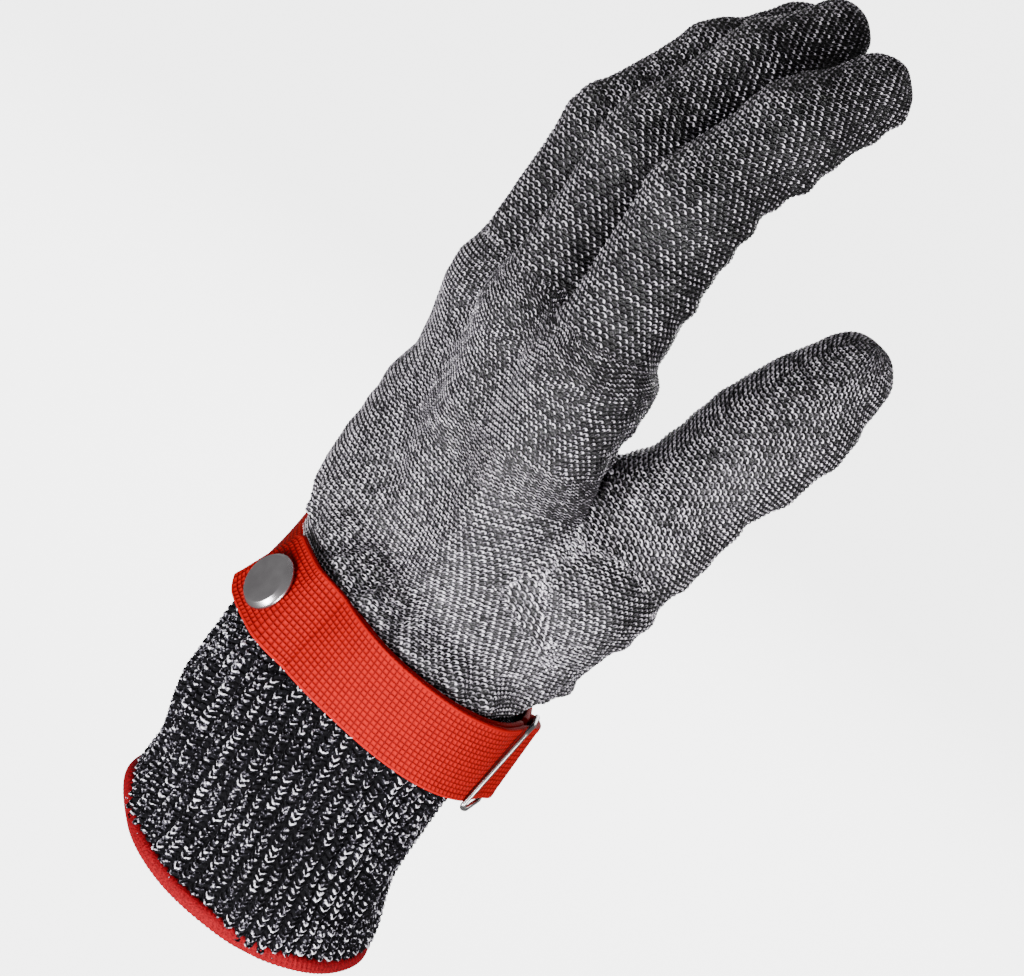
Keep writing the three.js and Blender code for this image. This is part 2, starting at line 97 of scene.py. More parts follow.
def folded(height, degrees):
    return shift(0, HINGE_INSET, height) @ bend(degrees) @ shift(0, -HINGE_INSET, 0)


def place(m, point):
    return m[:3, :3] @ np.array(point, float) + m[:3, 3]


HAND = shift(0, 0, WRIST_Z) @ bend(-4) @ turn_y(-9)


def thumb_frame():
    t, r = math.radians(THUMB_TURN), math.radians(THUMB_RISE)
    z = np.array([math.cos(t) * math.cos(r), math.sin(t) * math.cos(r), math.sin(r)])
    y = np.array([0, 0, 1.0]) - z * z[2]
    y /= np.linalg.norm(y)
    m = np.eye(4)
    m[:3, 0], m[:3, 1], m[:3, 2], m[:3, 3] = np.cross(y, z), y, z, THUMB_ROOT
    return HAND @ m


# ---- the hand inside the knit, as a distance field made of round cones ----
def smoothstep(x, low, high):
    t = np.clip((x - low) / (high - low), 0, 1)
    return t * t * (3 - 2 * t)


def smooth_min(a, b, k):
    h = np.clip(0.5 + 0.5 * (b - a) / k, 0, 1)
    return b + (a - b) * h - k * h * (1 - h)


class Bone:
    """A cone with round ends between two points of a frame, flattened across the frame's X."""

    def __init__(self, m, start, end, low, high, flat=1.0):
        a, b = np.array(start, float), np.array(end, float)
        z = (b - a) / np.linalg.norm(b - a)
        y = np.cross(z, (1.0, 0, 0))
        y /= np.linalg.norm(y)
        self.axes = m[:3, :3] @ np.stack([np.cross(y, z), y, z], 1)
        self.start = place(m, a)
        self.length, self.low, self.high, self.flat = np.linalg.norm(b - a), low, high, flat

    def distance(self, points):
        q = (points - self.start) @ self.axes
        t = np.clip(q[:, 2] / self.length, 0, 1)
        x, y, z = q[:, 0] / self.flat, q[:, 1], q[:, 2] - t * self.length
        n = np.sqrt(x * x + y * y + z * z) + 1e-9
        slope = np.sqrt((x / self.flat) ** 2 + y * y + z * z) / n
        return (n - (self.low + (self.high - self.low) * t)) / np.maximum(slope, 0.3)


def field_of(bones, k):
    def distance(points):
        d = bones[0].distance(points)
        for b in bones[1:]:
            d = smooth_min(d, b.distance(points), k)
        return d
    return distance


# How softly the bones of one limb, two fingers, and the thumb and the hand run into each other.
JOINED, BETWEEN_FINGERS, AT_THUMB = 5.0, 2.2, 8.0
CORNER_SPREAD = 12.0


class Limb:
    """A finger or the thumb: its bones, its middle line and its two fold frames."""

    def __init__(self, name, m, lengths, bends, radii, flat, root_at):
        self.base = m
        self.root_frame = m @ folded(root_at, bends[1]) if name == "thumb" else m @ shift(0, 0, root_at)
        if name == "thumb":
            middle = self.root_frame @ folded(lengths[1], bends[2])
            half = lengths[2] / 2
            end = middle @ shift(0, 0, half) @ bend(3)
            self.bones = [
                Bone(m, (0, 0, 0), (0, 0, lengths[0]), radii[0], radii[1]),
                Bone(self.root_frame, (0, 0, 0), (0, 0, lengths[1]), radii[1], radii[2], flat),
                Bone(middle, (0, 0, 0), (0, 0, half), radii[2], radii[2] - 0.8, flat),
                Bone(end, (0, 0, 0), (0, 0, half), radii[2] - 0.8, radii[3], flat),
            ]
            stations = [m, self.root_frame, middle, end]
            tip = place(end, (0, 0, half))
            self.seam_at = root_at + lengths[1] * 0.45
        else:
            middle = self.root_frame @ folded(lengths[0] - root_at, bends[1])
            end = middle @ shift(0, 0, lengths[1]) @ bend(bends[2])
            self.bones = [
                Bone(m, (0, 0, 0), (0, 0, lengths[0]), radii[0], radii[1], flat),
                Bone(middle, (0, 0, 0), (0, 0, lengths[1]), radii[1], radii[2], flat),
                Bone(end, (0, 0, 0), (0, 0, lengths[2]), radii[2], radii[3], flat),
            ]
            stations = [m, middle, end]
            tip = place(end, (0, 0, lengths[2]))
            self.seam_at = (root_at + lengths[0]) / 2
        self.middle_frame = middle
        self.corners = np.array([s[:3, 3] for s in stations] + [tip])
        steps = np.linalg.norm(np.diff(self.corners, axis=0), axis=1)
        self.marks = np.concatenate([[0], np.cumsum(steps)])
        self.length, self.tip_radius = self.marks[-1], radii[3]
        self.across = m[:3, 0]
        self.distance = field_of(self.bones, JOINED)

    def line(self, s):
        """Points and directions of the middle line at the lengths s, rounded over at each corner."""
        total, weight = np.zeros((len(s), 3)), 0.0
        for offset in np.linspace(-1, 1, 9):
            w = 1.0 - 0.8 * abs(offset)
            at = s + offset * CORNER_SPREAD
            p = np.stack([np.interp(at, self.marks, self.corners[:, i]) for i in range(3)], 1)
            first = (self.corners[1] - self.corners[0]) / (self.marks[1] - self.marks[0])
            last = (self.corners[-1] - self.corners[-2]) / (self.marks[-1] - self.marks[-2])
            p += np.minimum(at, 0)[:, None] * first + np.maximum(at - self.length, 0)[:, None] * last
            total, weight = total + w * p, weight + w
        return total / weight

    def frames(self, s):
        step = 0.5
        c = self.line(s)
        z = self.line(s + step) - self.line(s - step)
        z /= np.linalg.norm(z, axis=1)[:, None]
        x = self.across - z * (z @ self.across)[:, None]
        x /= np.linalg.norm(x, axis=1)[:, None]
        return c, x, np.cross(z, x), z


LIMBS = {}
for name, (knuckle, lean, bends, lengths, radii) in FINGERS.items():
    m = HAND @ shift(*knuckle) @ turn_y(lean) @ bend(bends[0])
    LIMBS[name] = Limb(name, m, lengths, bends, radii, FLATNESS, ROOT_LENGTH)
LIMBS["thumb"] = Limb("thumb", thumb_frame(), THUMB_LENGTHS, THUMB_BENDS, THUMB_RADII, 0.95, THUMB_LENGTHS[0])

palm_bones = [
    Bone(HAND, (x * 0.6, y * 0.3 + 1, 14), (x, y, z), 17, radii[0])
    for (x, y, z), _, _, _, radii in FINGERS.values()
]
palm_bones += [Bone(HAND, *bone) for bone in PALM]
palm_bones.append(Bone(HAND, *THUMB_BALL))
palm_distance = field_of(palm_bones, JOINED)
FINGER_NAMES = list(FINGERS)


def hand_without_thumb(points):
    fingers = LIMBS["index"].distance(points)
    for other in FINGER_NAMES[1:]:
        fingers = smooth_min(fingers, LIMBS[other].distance(points), BETWEEN_FINGERS)
    return smooth_min(palm_distance(points), fingers, JOINED)


def whole_hand(points):
    return smooth_min(hand_without_thumb(points), LIMBS["thumb"].distance(points), AT_THUMB)


def march(field, centres, directions, reach, steps=26):
    """How far each ray goes from inside the field to its surface, and whether it gets there within reach."""
    t = np.zeros(len(centres))
    for _ in range(steps):
        t += np.clip(-field(centres + directions * t[:, None]), -2, 8) * 0.9
        t = np.clip(t, 0, reach)
    return t, t < reach - 0.01


# ---- meshes on grids ----
def grid_mesh(name, points, keep=None, attributes=None, closed=False):
    """A mesh on a grid of points in millimetres, without the faces that keep leaves out."""
    rows, cols = points.shape[:2]
    index = np.arange(rows * cols).reshape(rows, cols)
    last = cols if closed else cols - 1
    right = (np.arange(last) + 1) % cols
    quads = np.stack([index[:-1, :last], index[:-1][:, right], index[1:][:, right], index[1:, :last]], -1)
    if keep is not None:
        good = keep[:-1, :last] & keep[:-1][:, right] & keep[1:][:, right] & keep[1:, :last]
        quads = quads[good]
    quads = quads.reshape(-1, 4)
    used = np.unique(quads)
    to_new = np.zeros(rows * cols, np.int64)
    to_new[used] = np.arange(len(used))
    quads = to_new[quads]
    mesh = bpy.data.meshes.new(name)
    mesh.vertices.add(len(used))
    mesh.vertices.foreach_set("co", (points.reshape(-1, 3)[used] * MM).astype(np.float32).ravel())
    mesh.loops.add(quads.size)
    mesh.loops.foreach_set("vertex_index", quads.astype(np.int32).ravel())
    mesh.polygons.add(len(quads))
    mesh.polygons.foreach_set("loop_start", (np.arange(len(quads)) * 4).astype(np.int32))
    mesh.polygons.foreach_set("use_smooth", np.ones(len(quads), bool))
    mesh.update(calc_edges=True)
    for label, values in (attributes or {}).items():
        layer = mesh.attributes.new(label, "FLOAT_VECTOR", "POINT")
        layer.data.foreach_set("vector", values.reshape(-1, 3)[used].astype(np.float32).ravel())
    piece = bpy.data.objects.new(name, mesh)
    bpy.context.scene.collection.objects.link(piece)
    return piece


# A running mean over 25 neighbours.
EVEN_HALF = 12
EVEN = np.ones(2 * EVEN_HALF + 1) / (2 * EVEN_HALF + 1)


def grid_normals(points, outward_from):
    across, along = np.gradient(points, axis=1), np.gradient(points, axis=0)
    n = np.cross(across, along)
    n /= np.linalg.norm(n, axis=2)[..., None] + 1e-9
    flip = np.sign(np.sum(n * (points - outward_from), axis=2))
    return n * flip[..., None]


def waves(points, scale, seed):
    """A smooth random field from -1 to 1, from a fixed set of waves."""
    rng = np.random.default_rng(seed)
    total = np.zeros(points.shape[:-1])
    for _ in range(10):
        way = rng.normal(size=3)
        way /= np.linalg.norm(way)
        total += np.sin(points @ way * (2 * math.pi / (scale * rng.uniform(0.7, 1.5))) + rng.uniform(0, 6.3))
    return total / 4.5


def stitch_relief(u, v):
    """The height of the knit at wale u and course v, from 0 to 1: a row of arched loops to a course."""
    row = np.floor(v)
    x = u + 0.5 * (row - 2 * np.floor(row / 2))
    x = x - np.floor(x) - 0.5
    y = v - row - 0.3
    ring = np.sqrt(x * x + y * y)
    return np.clip(1 - (np.abs(ring - 0.36) / 0.25) ** 2, 0, 1) * smoothstep(y, -0.4, 0.0)


def chain_relief(u, v):
    """The height of a rib at wale u and course v, from 0 to 1: one chain of V loops along each ridge."""
    side = np.abs(u - np.floor(u) - 0.5) * 2
    return (0.5 + 0.5 * np.cos(2 * math.pi * (v - 0.7 * side))) * (1 - side ** 3)


# The width of a stitch and the height of a course, and the steps of the grids that carry them.
PITCH_U, PITCH_V = 1.7, 1.25
STEP, PALM_STEP, PALM_COLUMN = 0.42, 0.45, 0.43
RELIEF, SETTLE, TUCK = 0.46, 0.35, 0.2
# Painted shade: how much darker the knit is painted on the palm side, towards the finger tips and on the
# fingers' side that faces the thumb, where less light falls.
PALM_SIDE_PAINTED_SHADE, TIP_PAINTED_SHADE, THUMB_SIDE_PAINTED_SHADE = 0.6, 0.5, 0.7


def knit_surface(name, points, centre_line, keep, u, v, tucked, extra=0.0):
    """Knit over the surface points: slow waves, the relief of its stitches, and its tucked edges.

    The stitch attribute holds the wale, the course and how much painted shade darkens the knit there.
    """
    normals = grid_normals(points, centre_line)
    slack = 0.25 + 0.45 * smoothstep(normals[..., 1], 0.0, 0.6)
    lift = RELIEF * (stitch_relief(u, v) - 0.5) + 0.30 * waves(points, 21, 3)
    lift = lift + slack * waves(points, 10, 5) + extra - SETTLE
    moved = points + normals * (lift - TUCK * tucked)[..., None]
    z = points[..., 2]
    # dark is painted shade on the palm side, towards the tips and on the side facing the thumb.
    dark = PALM_SIDE_PAINTED_SHADE * smoothstep(normals[..., 1], -0.15, 0.55) + TIP_PAINTED_SHADE * smoothstep(z, 140, 185)
    if not name.startswith("thumb"):
        dark += THUMB_SIDE_PAINTED_SHADE * smoothstep(normals[..., 0], 0.1, 0.6) * smoothstep(z, 118, 150)
    stitch = np.stack([u, v, dark], -1)
    return grid_mesh(name, moved, keep, {"stitch": stitch})


def courses(points, nominal):
    """The count of courses up each column of a tube of points, so that each stitch keeps its height."""
    step = np.clip(np.linalg.norm(np.diff(points, axis=0), axis=2), 0.5 * nominal, 1.8 * nominal)
    wide = np.concatenate([step[:, -EVEN_HALF - 1:-1], step, step[:, 1:EVEN_HALF + 1]], 1)
    even = np.stack([np.convolve(row, EVEN, "valid") for row in wide])
    return np.concatenate([np.zeros((1, points.shape[1])), np.cumsum(even, axis=0)]) / PITCH_V


def finger_rings(limb, start, columns, field, reach):
    """Points on the field round a limb, from the length start to its tip, with centres and lengths."""
    stem = np.arange(start, limb.length, STEP)
    over = np.linspace(0, math.pi / 2, int(limb.tip_radius * math.pi / 2 / STEP))[1:-1]
    s = np.concatenate([stem, np.full(len(over), limb.length)])
    lean = np.concatenate([np.zeros(len(stem)), over])
    c, x, y, z = limb.frames(s)
    angle = np.linspace(0, 2 * math.pi, columns + 1) - math.pi / 2
    radial = x[:, None] * np.cos(angle)[None, :, None] + y[:, None] * np.sin(angle)[None, :, None]
    ways = radial * np.cos(lean)[:, None, None] + z[:, None] * np.sin(lean)[:, None, None]
    centres = np.broadcast_to(c[:, None], ways.shape)
    t, hit = march(field, centres.reshape(-1, 3), ways.reshape(-1, 3), reach)
    points = centres + ways * t.reshape(ways.shape[:2])[..., None]
    length = s + limb.tip_radius * lean
    return points, centres, np.broadcast_to(length[:, None], points.shape[:2]), hit.reshape(points.shape[:2])


def territory(points, own):
    """Below 0 where a point is nearer to the limb own than to any other limb or the palm, in millimetres."""
    flat = points.reshape(-1, 3)
    mine = LIMBS[own].distance(flat)
    others = [LIMBS[n].distance(flat) for n in FINGER_NAMES + ["thumb"] if n != own]
    if own == "thumb":
        others.append(palm_distance(flat))
    return (mine - np.min(others, axis=0)).reshape(points.shape[:2])


# Where each limb's knit starts, along its own line, and how far it runs in under its neighbour.
# The thumb's knit takes THUMB_CLAIM more of the surface than the part that is nearest to the thumb.
THUMB_SEAM, THUMB_CLAIM, THUMB_GIRTH = 6.0, 4.0, 14.6
PALM_SEAM = {"index": 10.0, "middle": 10.0, "ring": 10.0, "little": 9.0}
OVERLAP = 0.9
PALM_FROM, PALM_TO = 1.0, 102.0
PALM_COARSE = 241


def add_finger(name):
    limb = LIMBS[name]
    columns = int(round(2 * math.pi * 0.9 * FLATNESS ** 0.5 * FINGERS[name][4][1] / STEP))
    start = PALM_SEAM[name] - OVERLAP
    points, centres, length, hit = finger_rings(limb, start, columns, whole_hand, 26)
    near = territory(points, name)
    keep = hit & (near < OVERLAP)
    wales = round(columns * STEP / PITCH_U)
    u = np.broadcast_to(np.linspace(0, wales, columns + 1), length.shape)
    v = courses(points, STEP)
    tucked = smoothstep(near, -0.2, OVERLAP) + smoothstep(-length, -PALM_SEAM[name] - 0.3, -start)
    return limb_pieces(name, length, points, centres, keep, u, v, tucked)


def add_thumb():
    limb = LIMBS["thumb"]
    columns = int(round(2 * math.pi * THUMB_GIRTH / STEP))
    points, centres, length, hit = finger_rings(limb, THUMB_SEAM - OVERLAP, columns, whole_hand, 40)
    near = territory(points, "thumb") - THUMB_CLAIM
    keep = hit & (near < OVERLAP)
    u = np.broadcast_to(np.linspace(0, round(columns * STEP / PITCH_U), columns + 1), length.shape)
    v = courses(points, STEP)
    tucked = smoothstep(near, -0.2, OVERLAP) + smoothstep(-length, -THUMB_SEAM - 0.3, OVERLAP - THUMB_SEAM)
    return limb_pieces("thumb", length, points, centres, keep, u, v, tucked)


def limb_pieces(name, length, *grids):
    """The knit of a limb as a root piece and a tip piece that meet at its seam."""
    limb = LIMBS[name]
    made = []
    for part, low, high in (("root", 0, limb.seam_at), ("tip", limb.seam_at, 1e3)):
        rows = np.where((length[:, 0] >= low - 0.6 * STEP) & (length[:, 0] <= high + 0.6 * STEP))[0]
        pick = slice(rows[0], rows[-1] + 1)
        made.append(knit_surface(f"{name}_knit_{part}", *(grid[pick] for grid in grids)))
    blend_limb(limb, made, name)
    return made


def blend_limb(limb, made, name):
    """Bakes the transforms of the root piece and the tip piece, and hides the limb's stall parts of the CAD
    model.
    """
    for piece, m, a, b in (
        (made[0], limb.root_frame, "glove", f"{name}_root"),
        (made[1], limb.middle_frame, f"{name}_root", f"{name}_tip"),
    ):
        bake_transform(piece)
    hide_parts(f"{name}_stall_root")
    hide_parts(f"{name}_stall_tip")


def palm_directions(heights, middle, columns):
    """Directions out from the hand's middle line, spaced so that the columns are evenly wide."""
    coarse = np.linspace(0, 2 * math.pi, PALM_COARSE) + math.pi
    turn = np.stack([np.cos(coarse) * 1.6, np.sin(coarse), np.zeros(PALM_COARSE)], 1)
    turn /= np.linalg.norm(turn, axis=1)[:, None]
    angles = np.unwrap(np.arctan2(turn[:, 1], turn[:, 0]))
    centres = np.repeat(middle, PALM_COARSE, 0)
    ways = np.tile(turn, (len(heights), 1))
    t, _ = march(hand_without_thumb, to_row(centres), ways @ HAND[:3, :3].T, 60)
    ring = (centres + ways * t[:, None]).reshape(len(heights), PALM_COARSE, 3)
    step = np.linalg.norm(np.diff(ring, axis=1), axis=2)
    run = np.concatenate([np.zeros((len(heights), 1)), np.cumsum(step, axis=1)], 1)
    share = run / run[:, -1:]
    smooth = np.stack([
        np.convolve(np.pad(share[:, i], EVEN_HALF, "edge"), EVEN, "valid") for i in range(PALM_COARSE)], 1)
    goal = np.linspace(0, 1, columns + 1)
    fine = np.stack([np.interp(goal, row, angles) for row in smooth])
    ways = np.stack([np.cos(fine), np.sin(fine), np.zeros_like(fine)], -1)
    return goal, ways @ HAND[:3, :3].T


def to_wrist(centres, ways):
    """How far each ray goes to the wrist's own outline."""
    a, b = WRIST_HALF[0] + 0.5, WRIST_HALF[1] + 0.5
    p, d = centres[..., :2], ways[..., :2]
    qa = (d[..., 0] / a) ** 2 + (d[..., 1] / b) ** 2
    qb = 2 * (p[..., 0] * d[..., 0] / a ** 2 + p[..., 1] * d[..., 1] / b ** 2)
    qc = (p[..., 0] / a) ** 2 + (p[..., 1] / b) ** 2 - 1
    return (-qb + np.sqrt(np.maximum(qb * qb - 4 * qa * qc, 0))) / (2 * qa)


def gathers(points):
    """How far the knit stands out over the strap, in folds that die away, and in by the ring."""
    over_strap = points[..., 2] + STRAP_SLOPE * points[..., 1]
    gather = 1.9 * np.exp(-np.maximum(over_strap - 87, 0) / 6.5) * smoothstep(over_strap, 84, 88)
    angle = np.arctan2(points[..., 1], points[..., 0])
    folds = np.sin(17 * angle + 1.2 * np.sin(3 * angle)) + 0.5 * np.sin(29 * angle + 1.0)
    by_ring = np.exp(-((np.degrees(angle) - RING_ANGLE) / 15) ** 2) * (1 - smoothstep(over_strap, 85.5, 91))
    little_side = np.exp(-((np.degrees(angle) + 125) / 38) ** 2) * smoothstep(over_strap, 84, 92)
    little_side = 1.5 * little_side * (1 - smoothstep(over_strap, 118, 140))
    return gather * folds * 0.7 + 0.4 * gather - 3.0 * by_ring + little_side


def add_palm():
    """The palm and back as one tube of rows across the hand, from the strap up to the fingers' seams."""
    heights = np.arange(PALM_FROM, PALM_TO, PALM_STEP)
    middle = np.stack([
        np.interp(heights, (0, 25, 60, 102), (0, 0, -5, -7)),
        np.interp(heights, (0, 30, 102), (0, 0, -1)),
        heights,
    ], 1)
    columns = 560
    goal, ways = palm_directions(heights, middle, columns)
    shape = ways.shape[:2]
    centres = np.broadcast_to(to_row(middle)[:, None], ways.shape)
    t, hit = march(whole_hand, centres.reshape(-1, 3), ways.reshape(-1, 3), 75)
    t, hit = t.reshape(shape), hit.reshape(shape)

    # The wrist's own outline takes over below the hand.
    reached = centres + ways * t[..., None]
    share_hand = smoothstep(reached[..., 2] + STRAP_SLOPE * reached[..., 1], 84.5, 97)
    t = to_wrist(centres, ways) * (1 - share_hand) + t * share_hand
    points = centres + ways * t[..., None]

    # The thumb's and the fingers' own knit takes over past their seams.
    flat = points.reshape(-1, 3)
    thumb = LIMBS["thumb"].distance(flat).reshape(shape)
    rest = hand_without_thumb(flat).reshape(shape)
    base = LIMBS["thumb"].base
    along_thumb = ((flat - base[:3, 3]) @ base[:3, 2]).reshape(shape) - THUMB_SEAM
    near_thumb = np.minimum(rest - thumb + THUMB_CLAIM, along_thumb)
    keep = hit & (near_thumb < OVERLAP) & (seam_height(points) < OVERLAP)
    u = np.broadcast_to(goal * round(columns * PALM_COLUMN / PITCH_U), shape)
    grids = (points, centres, keep, u, courses(points, PALM_STEP), np.zeros(shape), gathers(points))
    half = columns // 2
    back = knit_surface("back_knit", *(grid[:, :half + 1] for grid in grids))
    palm = knit_surface("palm_knit", *(grid[:, half:] for grid in grids))
    for piece in (back, palm):
        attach(piece, "glove")
        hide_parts("palm_and_back_knit")
    return [back, palm]


def to_row(points):
    return points @ HAND[:3, :3].T + HAND[:3, 3]


def seam_height(points):
    """How far past its finger's seam each point lies, along the finger that is nearest to it."""
    flat = points.reshape(-1, 3)
    distances = np.stack([LIMBS[n].distance(flat) for n in FINGER_NAMES])
    nearest = distances.argmin(0)
    height = np.zeros(len(flat))
    for i, n in enumerate(FINGER_NAMES):
        m = LIMBS[n].base
        along = (flat - m[:3, 3]) @ m[:3, 2] - PALM_SEAM[n]
        height = np.where(nearest == i, along, height)
    return height.reshape(points.shape[:2])


# ---- the rib cuff and its hem ----
def wrist_ratio(z):
    low, high = MOUTH_HALF[0] / MOUTH_HALF[1], WRIST_HALF[0] / WRIST_HALF[1]
    return low + (high - low) * smoothstep(z, 0, 63)


CUFF_Z = (3.7, 14, 30, 46, 58, 75)
CUFF_Y = (35.5, 34.7, 33.3, 32.3, 32.0, 32.0)
RIBS, RIB_COURSE = 64, 1.75
HEM_THREADS, HEM_HEIGHT = 84, 2.2


def cuff_radius(z):
    near = np.stack([np.interp(z + d, CUFF_Z, CUFF_Y) for d in (-5, -2.5, 0, 2.5, 5)])
    return near.mean(0)


def cuff_point(angle, z, lift=0.0):
    r = cuff_radius(z)
    k = wrist_ratio(z)
    out = np.stack([np.cos(angle), k * np.sin(angle)], -1)
    out /= np.linalg.norm(out, axis=-1)[..., None]
    x = r * k * np.cos(angle) + out[..., 0] * lift
    y = r * np.sin(angle) + out[..., 1] * lift
    return np.stack([x, y, z], -1)


def squeeze(angle, z):
    """How far the slack cuff stands out from its round outline, or falls in where it is below 0."""
    def near(degrees, width):
        off = (angle - math.radians(degrees) + math.pi) % (2 * math.pi) - math.pi
        return np.exp(-(off / math.radians(width)) ** 2)
    palm_side = -4.6 * near(58, 42) * smoothstep(z, 2, 26) * (1 - smoothstep(z, 50, 66))
    little_side = 3.2 * near(-125, 44) * smoothstep(z, 16, 36) * (1 - smoothstep(z, 57, 66))
    by_mouth = -2.0 * near(-118, 36) * (1 - smoothstep(z, 12, 30))
    return palm_side + little_side + by_mouth


def add_cuff():
    columns = RIBS * 10
    zs = np.arange(2.2, 77.0, 0.55)
    angle, z = np.meshgrid(np.linspace(0, 2 * math.pi, columns + 1), zs)
    base = cuff_point(angle, z)
    u = angle / (2 * math.pi) * RIBS + 0.35 * np.sin(z / 17.0 + 3 * np.sin(angle)) + 0.14 * waves(base, 6, 19)
    v = z / RIB_COURSE + 0.35 * waves(base, 26, 9) + 0.12 * waves(base, 5, 23)
    side = np.abs(u - np.floor(u) - 0.5) * 2
    slack = smoothstep(z, 3, 20) * (1 - smoothstep(z, 54, 62))
    furrow = np.maximum(waves(base * np.array([1, 1, 0.12]), 11, 31), 0) * slack
    creases = 0.9 * waves(base * np.array([1, 1, 0.22]), 17, 12) * slack - 1.3 * furrow + squeeze(angle, z)
    lift = 1.1 * np.cos(side * math.pi / 2) ** 0.7 - 0.8 + 0.75 * (chain_relief(u, v) - 0.4) + creases
    lift -= 0.5 * smoothstep(z, 52, 58)
    outer = cuff_point(angle, z, lift)
    inside = np.meshgrid(angle[0], zs[::-4])
    inner = cuff_point(*inside, squeeze(*inside) - 2.1)
    stitch = np.stack([u, v, waves(base, 30, 4)], -1)
    cuff = grid_mesh("rib_cuff_knit", np.concatenate([outer, inner]), None,
                     {"stitch": np.concatenate([stitch, stitch[::-4]])})
    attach(cuff, "glove")
    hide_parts("rib_cuff")
    return cuff


def add_hem():
    """Overlock edging: thread wound over the cuff's edge, as slanted ridges on a rounded band."""
    columns, around = 900, 20
    full = 2 * math.pi
    angle, turn = np.meshgrid(np.linspace(0, full, columns + 1), np.linspace(0, full, around + 1))
    ridge = np.abs(np.sin(angle * HEM_THREADS + turn * 0.9)) ** 0.8
    size = 1 + 0.14 * (ridge - 0.6)
    lift = -0.75 + 1.75 * np.cos(turn) * size
    sway = 0.8 * np.sin(5 * angle + 0.4) + 0.6 * np.sin(9 * angle + 2)
    z = 2.4 + (HEM_HEIGHT * np.sin(turn)) * size + sway * 0.5
    fall = squeeze(angle, np.full_like(angle, 3.0))
    base = cuff_point(angle, np.full_like(angle, 4.0), lift + sway * 0.6 + fall)
    base[..., 2] = np.maximum(z, 0.02)
    stitch = np.stack([angle * HEM_THREADS / math.pi + turn * 0.28, turn, waves(base, 20, 2)], -1)
    hem = grid_mesh("hem_overlock", base, None, {"stitch": stitch})
    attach(hem, "glove")
    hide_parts("cuff_hem")
    return hem


# ---- the strap ----
GAP, WEB_THICK, WEB_WIDTH = 0.3, 1.2, 23.0
BAND_LIFT = 1.1
BAND_OUTER = BAND_LIFT + WEB_THICK
FLAP_LIFT = BAND_OUTER + GAP
TAB_LIFT = 6.2
SNAP_ANGLE, FLAP_ANGLE, TAB_ANGLE, TAB_END_ANGLE, RING_ANGLE = -94, -36, -70, -108, 38
STRAP_Z, STRAP_SLOPE = 73.0, 0.16
WIRE_RADIUS, RING_HALF_SPAN, CAP_RADIUS = 0.85, 4.2, 7.5
# The wire is drawn finer than the room it is given. The ring's outer bar hangs askew by RING_TRAIL.
SEEN_WIRE_RADIUS, RING_TRAIL = 0.62, 0.27
CAP_LEAN = 0.34
BAR_OVER_LIFT = FLAP_LIFT + WEB_THICK + GAP + WIRE_RADIUS
BAR_UNDER_LIFT = BAND_OUTER + GAP + WIRE_RADIUS


def wrist_point(angle, lift):
    a, b = WRIST_HALF
    t = np.radians(angle)
    out = np.stack([b * np.cos(t), a * np.sin(t)], -1)
    out /= np.linalg.norm(out, axis=-1)[..., None]
    return np.stack([a * np.cos(t), b * np.sin(t)], -1) + out * np.asarray(lift)[..., None]


def mm_per_degree(angle):
    t = math.radians(angle)
    return math.radians(1) * math.hypot(WRIST_HALF[0] * math.sin(t), WRIST_HALF[1] * math.cos(t))


def lean_at(angle):
    """How far the webbing leans out at its lower edge, for each mm of its width."""
    angle = np.asarray(angle, float)
    return CAP_LEAN * smoothstep(-angle, 38, 84) * smoothstep(angle, -155, -112)


def leaning(angle, lift):
    """Points round the wrist in the XY plane, with the lean there as a third column."""
    return np.concatenate([wrist_point(angle, lift), lean_at(angle)[:, None]], 1)


def resample(path, step):
    run = np.concatenate([[0], np.cumsum(np.linalg.norm(np.diff(path[:, :2], axis=0), axis=1))])
    s = np.linspace(0, run[-1], max(2, int(round(run[-1] / step)) + 1))
    fine = np.stack([np.interp(s, run, path[:, i]) for i in range(3)], 1)
    return fine[:, :2], fine[:, 2], s


WEAVE, WEB_STEP = 1.35, 0.29


def webbing(name, path, round_end=False):
    """Woven webbing along a line in the XY plane: rows along it, columns round its section."""
    line, lean, s = resample(path, WEB_STEP)
    along = np.gradient(line, axis=0)
    along /= np.linalg.norm(along, axis=1)[:, None]
    out = np.stack([along[:, 1], -along[:, 0]], 1)
    lean = lean * np.sign(np.sum(out * line, axis=1).mean())
    half, thick, edge = WEB_WIDTH / 2, WEB_THICK / 2, 0.5
    across = 78
    flat = np.linspace(-(half - edge), half - edge, across)
    bow = np.linspace(0, math.pi, 7)[1:-1]
    rim = half - edge + edge * np.sin(bow)
    z = np.concatenate([flat, rim, flat[::-1], -rim])
    up = np.concatenate([np.full(across, 1.0), np.cos(bow), np.full(across, -1.0), -np.cos(bow)])
    width = np.ones(len(line))
    if round_end:
        left = s[-1] - s
        width = np.where(left < 5, np.sqrt(np.maximum(1 - ((5 - left) / 5) ** 2 * 0.42, 0.05)), 1.0)
    u, v = np.meshgrid(z / WEAVE, s / WEAVE)
    cell = np.sqrt(np.abs(np.sin(math.pi * u)) * np.abs(np.sin(math.pi * v)))
    selvedge = 0.12 * smoothstep(np.abs(z), half - 2.2, half - 1.2)
    height = up[None] * (thick + 0.11 * (cell - 0.5) * (np.abs(z) < half - 1.2)[None] + selvedge[None])
    grid = np.zeros((len(line), len(z), 3))
    height = height - z[None] * lean[:, None]
    grid[..., :2] = line[:, None] + out[:, None] * height[..., None]
    grid[..., 2] = STRAP_Z + z[None] * width[:, None] - STRAP_SLOPE * grid[..., 1]
    side = np.broadcast_to(np.abs(z)[None] / half, u.shape)
    middle = grid.mean(1)
    grid = np.concatenate([np.broadcast_to(middle[:1, None], (1, len(z), 3)), grid,
                           np.broadcast_to(middle[-1:, None], (1, len(z), 3))])
    stitch = np.stack([u, v, side], -1)
    stitch = np.concatenate([stitch[:1], stitch, stitch[-1:]])
    return grid_mesh(name, grid, None, {"stitch": stitch}, closed=True)


